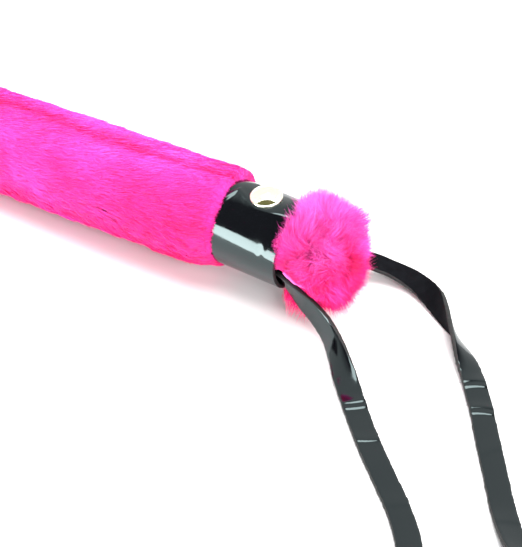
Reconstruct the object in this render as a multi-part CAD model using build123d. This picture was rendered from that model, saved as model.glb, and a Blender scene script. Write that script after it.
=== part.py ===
"""A riding crop with a plush grip, a pompom butt and a wrist loop, lying at rest.

World frame: X runs along the crop with the butt at +X, Z is up and the surface is z = 0.
The crop leans by LEAN degrees, so that it rests on the grip's front edge and on its tongue.
Turned pieces are drawn in the crop's own frame, where x = 0 is the rim at the butt and the
crop runs to -x, and are then set in place by place().
"""
import math
import os

from build123d import *

# ---- where the crop lies
RIM_X = 310.0          # the butt rim's centre in the world
RIM_Z = 20.52
LEAN = 1.67            # degrees, butt end up

# ---- handle, along the crop's own x
COLLAR_R = 13.2        # outside of both leather collars
COLLAR_T = 1.2
BUTT_COLLAR = 23.0     # length
FRONT_COLLAR = 16.0
GRIP_END = -165.0      # front face of the handle
PILE_R = 15.75         # outside of the plush pile
CLOTH_R = 11.65        # inside of the plush cloth
HEM_R = 11.05          # inside of its hems, under the collars
HEM_LENGTH = 5.0
CORE_R = 8.0           # handle tube
CORE_WALL = 1.0
PLUG_R = 11.0          # heads of both plugs
PLUG_HEAD = 24.0       # the butt plug's head
FRONT_HEAD = 14.0
SPIGOT = 22.0
FIT = 0.05             # gap between pieces that sit in each other

# ---- shaft
ROD_R = 2.5
ROD_TIP_R = 1.5
ROD_BUTT = -20.0
ROD_END = -576.0
BRAID_T = 0.6
BRAID_START = -172.0
BRAID_END = -555.5
FLEX_AT = (-250.0, -335.0, -420.0, -505.0)   # the shaft's bending places
FLEX_GAP = 0.4
FERRULE_END = -190.0
WHIPPING = 10.0

# ---- rivets
CAP_R = 5.0
CAP_H = 2.2
BASE_R = 4.0
POST_R = 1.3
RIVET_SEAT = 12.9      # how far the cap's underside is from the crop's axis
RIVET_CLOCK = -9.0     # degrees about x from the top

# ---- pompom
POMPOM_R = 17.0
POMPOM_X = 4.0
BALL_R = 9.0
SCREW_R = 1.4

# ---- tongue
NECK_START = -556.0
NECK_END = -577.5
NECK_T = 1.2
LEAF_T = 1.3
LEAF_GAP = 0.05
LEAF_ROOT_X = -269.2   # world x of the tongue's bending line
LEAF_END_X = -331.0
LEAF_HALF = 19.0
ROOT_HALF = 6.5
STITCH = 3.0
STITCH_PITCH = 3.9
STITCH_IN = 3.2        # from the leaf's edge

# ---- wrist strap: one strip, both ends tucked under the butt collar
STRAP_W = 7.0
STRAP_T = 1.5
STRAP_R = 10.4         # its middle, from the crop's axis, under the collar
STRAP_CLOCK = 37.0     # degrees below the horizontal, on both sides
TUCK = 17.0
STRAIGHT_OUT = 4.0     # how far past the rim it keeps straight
# The loop's line in the world, from the near side's rim round to the far side's, with the
# strip's roll in degrees at each point: 0 is flat with the smooth side up, 90 is on its edge.
STRAP_ROUTE = (
    (318.4, -10.4, 11.8, 105), (323.8, -11.0, 8.6, 84), (329.2, -14.2, 5.6, 60),
    (335.4, -19.6, 3.6, 44), (342.2, -26.6, 2.1, 18), (350.0, -34.9, 0.95, 2),
    (358.5, -43.9, 0.85, 0), (367.4, -52.2, 0.85, 0), (377.6, -61.4, 0.85, 0),
    (387.0, -72.4, 1.2, 3), (393.6, -88.0, 2.7, 25), (397.2, -106.5, 3.7, 55),
    (409.0, -122.0, 3.9, 80), (428.5, -125.2, 3.9, 90), (444.4, -113.4, 3.9, 90),
    (447.2, -94.0, 3.9, 90), (435.6, -78.0, 3.9, 80), (421.5, -68.0, 3.5, 48),
    (410.6, -59.6, 2.3, 20), (402.2, -48.8, 1.0, 2), (394.8, -37.6, 0.85, 0),
    (387.2, -26.6, 0.85, 0), (380.2, -16.0, 1.0, 1), (374.6, -8.6, 2.1, 16),
    (368.6, -1.4, 3.3, 42), (362.0, 4.8, 3.8, 76), (354.8, 11.8, 3.8, 115),
    (348.2, 17.8, 3.3, 150), (340.2, 22.2, 3.0, 175), (331.4, 22.4, 4.1, 180),
    (324.4, 19.8, 6.5, 172), (319.0, 14.4, 10.2, 150),
)
TUCKED_ROLL = 90.0 + STRAP_CLOCK


def place(solid):
    """Sets a piece drawn in the crop's frame into the world."""
    return Location((RIM_X, 0, RIM_Z)) * Rotation(0, -LEAN, 0) * solid


def world(x, y, z):
    """A point of the crop's frame, in the world."""
    lean = math.radians(LEAN)
    up = math.sin(lean)
    along = math.cos(lean)
    return (RIM_X + x * along - z * up, y, RIM_Z + x * up + z * along)


def turned(*profile):
    """A solid turned about the crop's axis from (x, radius) points."""
    face = make_face(Plane.XZ * Polyline(*profile, close=True))
    return revolve(face, Axis.X)


def ring(inner, outer, start, end):
    """A straight ring or disc about the crop's axis."""
    return turned((start, inner), (end, inner), (end, outer), (start, outer))


def stick(radius, start, end):
    """A round bar standing on the crop's axis, from one distance off it to another."""
    return Pos(0, 0, (start + end) / 2) * Cylinder(radius, end - start)


def rod_radius(x):
    """The rod is straight in the handle and tapers to the tip."""
    share = min(max((GRIP_END - x) / (GRIP_END - ROD_END), 0.0), 1.0)
    return ROD_R + (ROD_TIP_R - ROD_R) * share


def at_rivet(solid, x):
    return Rotation(RIVET_CLOCK, 0, 0) * Pos(x, 0, 0) * solid


def rivet_places():
    return (-BUTT_COLLAR / 2, GRIP_END + FRONT_COLLAR / 2)


# ---------------------------------------------------------------- rivets
def rivet_cap():
    """A rolled, low domed cap with its post."""
    dome = CAP_R - 0.9
    crown = (dome * dome + CAP_H * CAP_H * 0.5) / (CAP_H * 1.4)
    rim = stick(CAP_R, RIVET_SEAT, RIVET_SEAT + 0.9)
    rim = fillet(rim.edges().group_by(Axis.Z)[-1], 0.6)
    ball = Pos(0, 0, RIVET_SEAT + CAP_H - crown) * Sphere(crown)
    crown_part = ball & stick(dome, RIVET_SEAT + 0.2, RIVET_SEAT + CAP_H + 1)
    post = stick(POST_R, 9.2, RIVET_SEAT + 0.1)
    return rim + crown_part + post


def rivet_base():
    """The flat inner cap with the sleeve that the post is set in."""
    sleeve = stick(POST_R + 0.6, 9.2, 12.0) - stick(POST_R + 0.01, 9.2, 12.1)
    return stick(BASE_R, 8.2, 9.2) + sleeve


def rivet_pocket():
    """The room that a rivet takes up below the leather."""
    return stick(BASE_R + 0.1, 8.1, PLUG_R + 1)


# ---------------------------------------------------------------- handle
def strap_channels():
    """The two grooves along the butt plug's head that the strap's ends lie in."""
    groove = Pos(-TUCK / 2, 0, STRAP_R + 0.7) * Box(TUCK + 0.4, STRAP_W + 0.4, STRAP_T + 1.6)
    near = Rotation(90 + STRAP_CLOCK, 0, 0) * groove
    far = Rotation(-90 - STRAP_CLOCK, 0, 0) * groove
    return near + far


def butt_plug():
    tail = -PLUG_HEAD - SPIGOT
    body = turned(
        (0, 0), (0, PLUG_R - 1), (-1, PLUG_R), (-PLUG_HEAD, PLUG_R), (-PLUG_HEAD, CORE_R - 1.1),
        (tail, CORE_R - 1.1), (tail, 0),
    )
    body -= ring(0, ROD_R + FIT, ROD_BUTT + 0.1, tail)
    body -= ring(0, SCREW_R + 0.01, 0, -17.2)
    body -= at_rivet(rivet_pocket(), rivet_places()[0])
    return body - strap_channels()


def front_plug():
    inner = GRIP_END + FRONT_HEAD
    body = turned(
        (GRIP_END, ROD_R + FIT), (GRIP_END, PLUG_R), (inner, PLUG_R), (inner, CORE_R - 1.1),
        (inner + SPIGOT, CORE_R - 1.1), (inner + SPIGOT, ROD_R + FIT),
    )
    return body - at_rivet(rivet_pocket(), rivet_places()[1])


def core_tube():
    return ring(CORE_R - CORE_WALL, CORE_R, -PLUG_HEAD - FIT, GRIP_END + FRONT_HEAD + FIT)


def foam_sleeve():
    return ring(CORE_R + FIT, CLOTH_R - FIT, -PLUG_HEAD - 0.5, GRIP_END + FRONT_HEAD + 0.5)


def fur_sleeve():
    """Plush cloth with its pile, and a bare hem that goes under each collar."""
    butt = -BUTT_COLLAR - 0.2
    front = GRIP_END + FRONT_COLLAR + 0.2
    hem_top = COLLAR_R - COLLAR_T - 0.15
    butt_step = -PLUG_HEAD - 0.45
    front_step = GRIP_END + FRONT_HEAD + 0.45
    soft = 2.2
    return turned(
        (butt + HEM_LENGTH, HEM_R), (butt + HEM_LENGTH, hem_top), (butt, hem_top),
        (butt, PILE_R - soft), (butt - soft, PILE_R), (front + soft, PILE_R),
        (front, PILE_R - soft), (front, hem_top), (front - HEM_LENGTH, hem_top),
        (front - HEM_LENGTH, HEM_R), (front_step, HEM_R), (front_step, CLOTH_R),
        (butt_step, CLOTH_R), (butt_step, HEM_R),
    )


def collar(start, length, rivet_x):
    """A leather band whose ends meet under the handle, sunk a little where the rivet sits."""
    band = ring(COLLAR_R - COLLAR_T, COLLAR_R, start, start - length)
    seam = Pos(start - length / 2, 0, -COLLAR_R) * Box(length + 1, 0.2, 2 * COLLAR_T + 1)
    seat = stick(CAP_R + 0.05, RIVET_SEAT, COLLAR_R + 1)
    hole = stick(POST_R + 0.65, PLUG_R, RIVET_SEAT + 0.1)
    return band - seam - at_rivet(seat + hole, rivet_x)


def ferrule():
    """A moulded cone that closes the handle's front on to the shaft."""
    start = GRIP_END - FIT
    body = turned(
        (start, ROD_R + FIT), (start, 11.8), (start - 2.4, 11.8), (start - 4.0, 10.6),
        (start - 12.0, 6.6), (FERRULE_END, 4.6), (FERRULE_END, ROD_R + FIT),
    )
    return body - ring(0, ROD_R + BRAID_T + FIT, BRAID_START + 0.2, FERRULE_END)


# ---------------------------------------------------------------- pompom
def pompom_ball():
    ball = Pos(3.5, 0, 0) * Sphere(BALL_R)
    ball -= ring(0, BALL_R + 1, 0.1, -BALL_R)
    return ball - ring(0, SCREW_R + 0.1, 0, 9.5) - ring(0, 3.4, 9.4, BALL_R + 5)


def pompom_screw():
    head = ring(0, 3.2, 9.4, 11.2)
    slot = Pos(11.2, 0, 0) * Box(1.4, 7, 0.8)
    return head + ring(0, SCREW_R, -17.0, 9.5) - slot


def pompom_fur(near_room, far_room):
    """The fur's outer shape, hollow round the ball and open where the strap lies in it."""
    outer = Pos(POMPOM_X, 0, 0) * Sphere(POMPOM_R) - ring(0, POMPOM_R + 2, 0.3, -POMPOM_R)
    inner = Pos(3.5, 0, 0) * Sphere(BALL_R + 0.1)
    return place(outer - inner) - near_room - far_room


# ---------------------------------------------------------------- shaft
def tapered(start, end, inner_extra, outer_extra):
    """A tapered bar or tube that follows the rod between two places."""
    radius = [rod_radius(start), rod_radius(end)]
    if inner_extra is None:
        inner = [0.0, 0.0]
    else:
        inner = [r + inner_extra for r in radius]
    return turned(
        (start, inner[0]), (end, inner[1]),
        (end, radius[1] + outer_extra), (start, radius[0] + outer_extra),
    )


def shaft_lengths(first, last):
    """The stretches between the bending places, with half a gap at each of them."""
    half = FLEX_GAP / 2
    starts = [first] + [x - half for x in FLEX_AT]
    ends = [x + half for x in FLEX_AT] + [last]
    return list(zip(starts, ends))


def rod_length(start, end):
    if start > GRIP_END:
        return tapered(GRIP_END, end, None, 0) + ring(0, ROD_R, start, GRIP_END)
    return tapered(start, end, None, 0)


def braid_length(start, end):
    return tapered(start, end, FIT, BRAID_T)


# ---------------------------------------------------------------- tongue
def neck_half(side):
    """Half of the leather that is rolled round the rod's end; side is 1 above, -1 below."""
    inner = rod_radius(NECK_START) + FIT
    tube = ring(inner, inner + NECK_T, NECK_START, NECK_END)
    middle = (NECK_START + NECK_END) / 2
    keep = Pos(middle, 0, side * (5 + FIT / 2)) * Box(30, 12, 10)
    return tube & keep


def tip_whipping():
    inner = rod_radius(NECK_START) + FIT + NECK_T
    return ring(inner + 0.03, inner + 0.45, NECK_START - 2, NECK_END + 3.5)


def leaf_outline():
    """The tongue's outline from above: a narrow root that widens to a round-cornered leaf."""
    x = LEAF_ROOT_X
    half = [
        (x, ROOT_HALF), (x - 5, ROOT_HALF), (x - 17, LEAF_HALF), (LEAF_END_X, LEAF_HALF),
    ]
    points = half + [(px, -py) for px, py in reversed(half)]
    radii = [0, 9, 12, 9, 9, 12, 9, 0]
    return make_face(FilletPolyline(*points, radius=radii, close=True))


def leaf(bottom):
    """One leaf, with the half of the rounded root that the tongue bends about."""
    middle = LEAF_T + LEAF_GAP / 2
    plate = Pos(0, 0, bottom) * extrude(leaf_outline(), LEAF_T)
    root = Pos(LEAF_ROOT_X, 0, middle) * Rotation(90, 0, 0) * Cylinder(middle, 2 * ROOT_HALF)
    layer = Pos(LEAF_ROOT_X, 0, bottom + LEAF_T / 2) * Box(6, 2 * ROOT_HALF, LEAF_T)
    return plate + (root & layer)


def stitch_places():
    """Middle and heading of each stitch, along both sides and the far end."""
    side_y = LEAF_HALF - STITCH_IN
    end_x = LEAF_END_X + STITCH_IN
    count = 10
    first = LEAF_ROOT_X - 20
    spots = []
    for i in range(count):
        spots += [(first - i * STITCH_PITCH, y, 0) for y in (side_y, -side_y)]
    across = 6
    for i in range(across):
        spots.append((end_x, (i - (across - 1) / 2) * STITCH_PITCH, 90))
    return spots


def stitch():
    """One stitch: a bar sunk in each face and two legs through both leaves."""
    top = 2 * LEAF_T + LEAF_GAP
    bars = Pos(0, 0, top - 0.05) * Box(STITCH, 0.7, 0.5) + Pos(0, 0, 0.25) * Box(STITCH, 0.7, 0.4)
    for x in (-STITCH / 2 + 0.35, STITCH / 2 - 0.35):
        bars += Pos(x, 0, top / 2) * Box(0.7, 0.7, top - 0.2)
    return bars


def stitches():
    return [Pos(x, y, 0) * Rotation(0, 0, turn) * stitch() for x, y, turn in stitch_places()]


# ---------------------------------------------------------------- wrist strap
def strap_points():
    y = STRAP_R * math.cos(math.radians(STRAP_CLOCK))
    z = -STRAP_R * math.sin(math.radians(STRAP_CLOCK))
    near = (world(-TUCK, -y, z), world(STRAIGHT_OUT, -y, z))
    far = (world(STRAIGHT_OUT, y, z), world(-TUCK, y, z))
    return [Vector(*p[:3]) for p in (*near, *STRAP_ROUTE, *far)]


def corner_radii(points):
    """Each arc is as large as the two runs beside it allow."""
    radii = []
    for a, b, c in zip(points, points[1:], points[2:]):
        turn = math.radians((b - a).get_angle(c - b))
        run = min((b - a).length, (c - b).length)
        radii.append(0.45 * run / math.tan(turn / 2))
    return radii


def roll_stations(points):
    """How far along the path each corner is, as a share of it, and the strip's roll there."""
    rolls = [TUCKED_ROLL, TUCKED_ROLL, *(p[3] for p in STRAP_ROUTE), TUCKED_ROLL, TUCKED_ROLL]
    runs = [(b - a).length for a, b in zip(points, points[1:])]
    shares = [sum(runs[:i]) / sum(runs) for i in range(len(points))]
    return list(zip(shares, rolls))


def roll_at(share, stations):
    for (a, first), (b, second) in zip(stations, stations[1:]):
        if share <= b:
            return first + (second - first) * (share - a) / (b - a)
    return stations[-1][1]


def strip(path, stations, start, end, width, thick, steps):
    """A flat strip along part of the path, rolled as the stations say."""
    sections = []
    for i in range(steps + 1):
        share = start + (end - start) * i / steps
        along = path.tangent_at(share)
        flat = along.cross(Vector(0, 0, 1)).normalized()
        level = Plane(path.position_at(share), x_dir=flat, z_dir=along)
        sections.append(level * Rotation(0, 0, roll_at(share, stations)) * Rectangle(width, thick))
    return loft(sections, ruled=True)


def wrist_strap():
    points = strap_points()
    radii = corner_radii(points)
    path = FilletPolyline(*points, radius=radii)
    wire = Wire(path.edges())
    stations = roll_stations(points)
    solid = strip(wire, stations, 0, 1, STRAP_W, STRAP_T, 150)
    room = (STRAP_W + 1.2, STRAP_T + 1.2, 16)
    near = strip(wire, stations, 0.03, 0.16, *room)
    far = strip(wire, stations, 0.84, 0.97, *room)
    print("strap radii mm", [round(r, 1) for r in radii])
    print("strap length mm", round(wire.length, 1))
    print("strap volume", round(solid.volume), "section x length", round(wire.length * STRAP_W * STRAP_T))
    return solid, near, far


# ---------------------------------------------------------------- everything
def save(name, shape):
    shape.label = name
    export_step(shape, f"parts/{name}.step")


def group(solids):
    return Compound(children=list(solids))


def main():
    os.makedirs("parts", exist_ok=True)
    strap, near_room, far_room = wrist_strap()
    save("wrist_strap", strap)

    save("butt_plug", place(butt_plug()))
    save("front_plug", place(front_plug()))
    save("handle_core_tube", place(core_tube()))
    save("foam_sleeve", place(foam_sleeve()))
    save("fur_sleeve", place(fur_sleeve()))
    save("butt_collar", place(collar(0, BUTT_COLLAR, rivet_places()[0])))
    save("front_collar", place(collar(GRIP_END + FRONT_COLLAR, FRONT_COLLAR, rivet_places()[1])))
    save("rivet_caps", group(place(at_rivet(rivet_cap(), x)) for x in rivet_places()))
    save("rivet_bases", group(place(at_rivet(rivet_base(), x)) for x in rivet_places()))
    save("front_ferrule", place(ferrule()))

    save("pompom_ball", place(pompom_ball()))
    save("pompom_screw", place(pompom_screw()))
    save("pompom_fur", pompom_fur(near_room, far_room))

    for i, (start, end) in enumerate(shaft_lengths(ROD_BUTT, ROD_END), 1):
        save(f"shaft_rod_{i}", place(rod_length(start, end)))
    for i, (start, end) in enumerate(shaft_lengths(BRAID_START, BRAID_END), 1):
        save(f"shaft_braid_{i}", place(braid_length(start, end)))
    thread = rod_radius(FERRULE_END) + BRAID_T + FIT
    save("front_whipping", place(ring(thread, thread + 0.5, FERRULE_END - 0.2, FERRULE_END - WHIPPING)))

    save("tongue_neck_upper", place(neck_half(1)))
    save("tongue_neck_lower", place(neck_half(-1)))
    save("tip_whipping", place(tip_whipping()))
    sewn = stitches()
    cut = Compound(children=sewn)
    save("tongue_lower_leaf", leaf(0) - cut)
    save("tongue_upper_leaf", leaf(LEAF_T + LEAF_GAP) - cut)
    save("tongue_stitches", group(stitches()))

    for i, x in enumerate(FLEX_AT, 1):
        print(f"shaft_flex_{i}", [round(v / 1000, 5) for v in world(x, 0, 0)])
    print("tongue_flex", [LEAF_ROOT_X / 1000, 0, round((LEAF_T + LEAF_GAP / 2) / 1000, 6)])


main()
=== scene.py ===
"""The looks of the riding crop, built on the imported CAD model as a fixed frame.

Shapes are worked out in millimetres and become metres in mesh_piece(). "Own frame" means the
crop's: x = 0 at the butt rim, the crop runs to -x and leans by LEAN in the world. A clock is an
angle round the crop, from its near side (-Y) at 0 over the top at 90 degrees.
"""

import itertools
import math

import bpy
import numpy as np
from mathutils import Matrix, Vector


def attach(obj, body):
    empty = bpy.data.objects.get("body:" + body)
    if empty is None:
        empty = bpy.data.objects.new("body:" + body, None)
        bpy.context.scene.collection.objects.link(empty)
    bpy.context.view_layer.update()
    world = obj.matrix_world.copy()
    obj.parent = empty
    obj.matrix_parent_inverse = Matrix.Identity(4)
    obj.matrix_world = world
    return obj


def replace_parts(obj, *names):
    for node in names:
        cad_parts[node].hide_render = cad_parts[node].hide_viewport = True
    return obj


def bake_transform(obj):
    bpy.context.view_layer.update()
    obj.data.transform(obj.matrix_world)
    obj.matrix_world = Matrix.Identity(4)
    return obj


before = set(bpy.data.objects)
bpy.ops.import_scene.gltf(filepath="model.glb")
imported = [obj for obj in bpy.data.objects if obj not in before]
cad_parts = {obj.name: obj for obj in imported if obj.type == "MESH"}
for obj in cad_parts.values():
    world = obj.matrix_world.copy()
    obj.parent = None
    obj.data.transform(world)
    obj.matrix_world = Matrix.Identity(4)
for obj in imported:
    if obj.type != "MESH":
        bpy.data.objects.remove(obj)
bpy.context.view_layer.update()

MM = 0.001
RIM = np.array((310.0, 0.0, 20.52))      # the butt rim's centre in the world
LEAN = math.radians(1.67)

# the camera, from the butt rim's centre
AZIMUTH = math.radians(31.36)            # towards +X from -Y
ELEVATION = math.radians(40.02)
DISTANCE = 468.2
SIDE_SHIFT = -10.78
UP_SHIFT = -8.94
LENS = 107.57
SENSOR = 36.0

# the handle, as in the CAD
BUTT_COLLAR = (-23.0, 0.0)
FRONT_COLLAR = (-165.0, -149.0)
COLLAR_R = 13.2
COLLAR_T = 1.2
RIVET_CLOCK = math.radians(99.0)
BUTT_RIVET = -11.5
RIVET_SEAT = 12.85
FRONT_RIVET = -157.0
CAP_DOME = 4.4                           # radius of a rivet cap's dome, inside its rolled rim
CAP_TOP = 1.45
CAP_ROLL = 0.45
POST_R = 2.6
DENT_TURN = math.radians(-59.0)          # where the cap's dent is, from +X round its middle
DENT_OUT = 2.95

# the shaft, as in the CAD
GRIP_END = -165.0
ROD_START = -20.0
ROD_END = -576.0
ROD_R = 2.5
ROD_TIP_R = 1.5
BRAID_T = 0.6
BRAID = (-172.0, -555.5)
FLEX_AT = (-250.0, -335.0, -420.0, -505.0)

# the tongue, as in the CAD
NECK_START = -556.0                      # own x where the leather starts on the rod
LEAF_ROOT = -269.2                       # world x of the bending line
LEAF_END = -331.0
LEAF_HALF = 19.0
ROOT_HALF = 6.5
LEAF_T = 1.3
LEAF_GAP = 0.05
STITCH_PITCH = 3.9
STITCH_IN = 3.2

# the strap
STRAP_W = 7.0
STRAP_T = 1.5
STRAP_LENGTH = 446.0
# The loop's control points in the world and the strip's roll in degrees there: 0 is flat with
# the smooth side up, 90 is on its edge, 180 has the flesh side up.
STRAP_ROUTE = (
    (293.19, -8.31, 13.77, 127), (307.5, -8.35, 14.1, 127), (312.4, -9.8, 13.0, 113),
    (317.6, -11.3, 11.2, 97), (323.4, -12.1, 8.3, 84), (329.2, -14.4, 5.9, 70),
    (335.4, -19.6, 3.9, 52), (342.2, -26.6, 2.1, 14), (350.0, -34.9, 0.95, 2),
    (358.5, -43.9, 0.85, 0), (367.4, -52.2, 0.85, 0), (377.6, -61.4, 0.85, 0),
    (387.0, -72.4, 1.2, 3), (393.6, -88.0, 2.7, 25), (397.2, -106.5, 3.7, 55),
    (409.0, -122.0, 3.9, 80), (428.5, -125.2, 3.9, 90), (444.4, -113.4, 3.9, 90),
    (447.2, -94.0, 3.9, 90), (435.6, -78.0, 3.9, 80), (421.5, -68.0, 3.5, 48),
    (410.6, -59.6, 2.3, 20), (402.2, -48.8, 1.0, 2), (394.8, -37.6, 0.85, 0),
    (387.2, -26.6, 0.85, 0), (380.2, -16.0, 1.0, 1), (374.6, -8.6, 1.2, 1),
    (368.6, -1.4, 2.2, 20), (362.0, 4.8, 3.4, 60), (354.8, 11.8, 3.8, 100),
    (348.2, 17.8, 3.3, 138), (340.2, 22.2, 3.0, 170), (331.4, 22.4, 4.1, 180),
    (324.4, 19.8, 6.5, 172), (319.0, 14.4, 10.2, 150),
    (314.18, 8.31, 14.38, 127), (309.0, 8.31, 14.23, 127), (293.19, 8.31, 13.77, 127),
)
# Wrinkles across the strap: how far along it, height, half width and slant, all in mm.
STRAP_WRINKLES = (
    (65.6, 0.26, 0.7, 0.10), (67.8, 0.24, 0.7, 0.10), (80.8, 0.24, 0.8, 0.22),
    (342.9, 0.26, 0.7, 0.08), (345.0, 0.24, 0.7, 0.08), (332.2, 0.24, 0.7, 0.14),
    (334.4, 0.26, 0.7, 0.14), (318.0, 0.12, 1.2, -0.35), (105.0, 0.15, 1.2, 0.2),
    (140.0, 0.2, 1.2, -0.1), (150.0, 0.2, 1.3, 0.1), (222.0, 0.22, 1.2, 0.1),
    (236.0, 0.2, 1.0, 0.1), (268.0, 0.18, 1.2, -0.2), (292.0, 0.14, 1.1, 0.1),
)


# ---- arithmetic
def to_world(points):
    """Points of the crop's own frame, in the world."""
    p = np.asarray(points, float)
    up, along = math.sin(LEAN), math.cos(LEAN)
    x, y, z = p[..., 0], p[..., 1], p[..., 2]
    return np.stack((RIM[0] + x * along - z * up, y, RIM[2] + x * up + z * along), axis=-1)


def on_round(x, clock, radius):
    """Points of the own frame on a round of that radius."""
    x, clock, radius = np.broadcast_arrays(x, clock, radius)
    return np.stack((x, -radius * np.cos(clock), radius * np.sin(clock)), axis=-1)


def unit(v):
    return v / np.maximum(np.linalg.norm(v, axis=-1, keepdims=True), 1e-12)


def ease(t):
    t = np.clip(t, 0, 1)
    return t * t * (3 - 2 * t)


def bell(distance, width):
    return np.exp(-((distance / width) ** 2))


def full_turn(steps):
    return np.linspace(0, 2 * math.pi, steps, endpoint=False)


def turn_from(clock, middle):
    """Signed angle from middle to clock, the short way."""
    return (clock - middle + math.pi) % (2 * math.pi) - math.pi


def hashed(ix, iy, iz, seed):
    """A number from 0 to 1 for each whole-number point."""
    h = ix * 374761393 + iy * 668265263 + iz * 2147483647 + seed * 1274126177
    h = (h ^ (h >> 13)) * 1274126177
    h = (h ^ (h >> 16)) & 0x7FFFFFFF
    return h / 0x7FFFFFFF


def noise(points, size, seed=0):
    """Smooth noise from -1 to 1; size is its grain, one number or one for each axis."""
    p = np.asarray(points, float) / np.asarray(size, float)
    base = np.floor(p).astype(np.int64)
    f = ease(p - base)
    total = 0.0
    for corner in itertools.product((0, 1), repeat=3):
        share = np.where(corner, f, 1 - f)
        value = hashed(*np.moveaxis(base + np.array(corner), -1, 0), seed)
        total = total + share[..., 0] * share[..., 1] * share[..., 2] * value
    return total * 2 - 1


def rod_radius(x):
    share = np.clip((GRIP_END - x) / (GRIP_END - ROD_END), 0, 1)
    return ROD_R + (ROD_TIP_R - ROD_R) * share


# ---- mesh making
def put_in_scene(name, data):
    thing = bpy.data.objects.new(name, data)
    bpy.context.scene.collection.objects.link(thing)
    return thing


def mesh_piece(name, points, polygons, materials, which=None):
    """A smooth-shaded mesh object from points, or a grid of them, in millimetres.

    polygons is one array of faces or several, each with its own number of corners; which gives
    each face's material, in the same order.
    """
    if not isinstance(polygons, list):
        polygons = [polygons]
    polygons = [np.asarray(p, np.int32) for p in polygons]
    corners = np.concatenate([p.ravel() for p in polygons])
    sizes = np.concatenate([np.full(len(p), p.shape[1]) for p in polygons])
    starts = np.concatenate(([0], np.cumsum(sizes)[:-1])).astype(np.int32)
    points = np.asarray(points, float).reshape(-1, 3) * MM
    mesh = bpy.data.meshes.new(name)
    mesh.vertices.add(len(points))
    mesh.vertices.foreach_set("co", points.astype(np.float32).ravel())
    mesh.loops.add(len(corners))
    mesh.loops.foreach_set("vertex_index", corners)
    mesh.polygons.add(len(sizes))
    mesh.polygons.foreach_set("loop_start", starts)
    for m in materials:
        mesh.materials.append(m)
    if which is not None:
        mesh.polygons.foreach_set("material_index", np.asarray(which, np.int32))
    mesh.update(calc_edges=True)
    mesh.polygons.foreach_set("use_smooth", np.ones(len(sizes), bool))
    mesh.update()
    return put_in_scene(name, mesh)


def grid_faces(rows, columns, wrap_rows=False, wrap_columns=False):
    """Quads of a rows x columns grid of points, numbered row by row."""
    r = np.arange(rows if wrap_rows else rows - 1)
    c = np.arange(columns if wrap_columns else columns - 1)
    r, c = (a.ravel() for a in np.meshgrid(r, c, indexing="ij"))
    r2, c2 = (r + 1) % rows, (c + 1) % columns
    return np.stack((r * columns + c, r * columns + c2, r2 * columns + c2, r2 * columns + c), 1)


def tube_faces(rows, columns):
    """The faces of a tube of rings: its sides, and the two that close its ends."""
    first = np.arange(columns)[None]
    sides = grid_faces(rows, columns, wrap_columns=True)
    return [sides, first[:, ::-1], first + (rows - 1) * columns]


def joined(tubes):
    """The points and side faces of several tubes, each a grid of rings, as one mesh's."""
    firsts = np.cumsum([0] + [tube[..., 0].size for tube in tubes])
    faces = [grid_faces(*tube.shape[:2], wrap_columns=True) + first
             for tube, first in zip(tubes, firsts)]
    return np.concatenate([tube.reshape(-1, 3) for tube in tubes]), np.concatenate(faces)


def from_axis(points):
    """The way straight out from the crop's axis, at points of the own frame."""
    return unit(points * np.array((0.0, 1.0, 1.0)))


def wound_frames(line):
    """Across and outward directions of a line that winds round the crop."""
    out = from_axis(line)
    return unit(np.cross(unit(np.gradient(line, axis=0)), out)), out


def rings(line, across, out, a, b):
    """A ring of points about each point of a line, a to the side and b outward."""
    return line[:, None] + across[:, None] * a[..., None] + out[:, None] * b[..., None]


def sweep(line, a, b):
    """Rings along a line that isn't wound, turned as little as it can."""
    along = unit(np.gradient(line, axis=0))
    out = np.zeros_like(along)
    guide = np.array((0.0, 0.0, 1.0))
    for i, t in enumerate(along):
        guide = guide - t * np.dot(guide, t)
        guide = guide / np.linalg.norm(guide)
        out[i] = guide
    return rings(line, np.cross(along, out), out, a, b)


def strand_piece(name, lines, sides, half_widths, shades, materials, root_levels=0, darker=0):
    """Tapered hairs. lines is hairs x levels x 3 and sides the ribbons' cross direction.

    The first root_levels stretches of each hair take a shade darker steps deeper: painted shade
    deep in the pile.
    """
    count, levels = lines.shape[:2]
    body = lines[:, :-1]
    offset = sides[:, None] * half_widths[:, :-1, None]
    pairs = np.stack((body - offset, body + offset), axis=2).reshape(count, -1, 3)
    points = np.concatenate((pairs, lines[:, -1:]), axis=1)
    each = points.shape[1]
    base = (np.arange(count) * each)[:, None]
    quads = [base + np.array((2 * i, 2 * i + 1, 2 * i + 3, 2 * i + 2)) for i in range(levels - 2)]
    last = 2 * (levels - 2)
    tips = base + np.array((last, last + 1, last + 2))
    deeper = np.minimum(shades + darker, len(materials) - 1)
    which = np.concatenate([deeper if i < root_levels else shades for i in range(levels - 1)])
    return mesh_piece(name, points, [np.concatenate(quads), tips], materials, which)


# ---- materials
def set_inputs(tree, node, **inputs):
    """Gives each named input of a node a number or colour, or a link from an output."""
    for key, value in inputs.items():
        socket = node.inputs[key.replace("_", " ")]
        if isinstance(value, bpy.types.NodeSocket):
            tree.links.new(value, socket)
        else:
            socket.default_value = value
    return node


def add_node(tree, kind, **inputs):
    return set_inputs(tree, tree.nodes.new(kind), **inputs)


def on_shader(m, **inputs):
    return set_inputs(m.node_tree, m.node_tree.nodes["Principled BSDF"], **inputs)


def material(name, **inputs):
    """A Principled material with those constants on its shader."""
    m = bpy.data.materials.new(name)
    m.use_nodes = True
    on_shader(m, **inputs)
    return m


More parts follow.
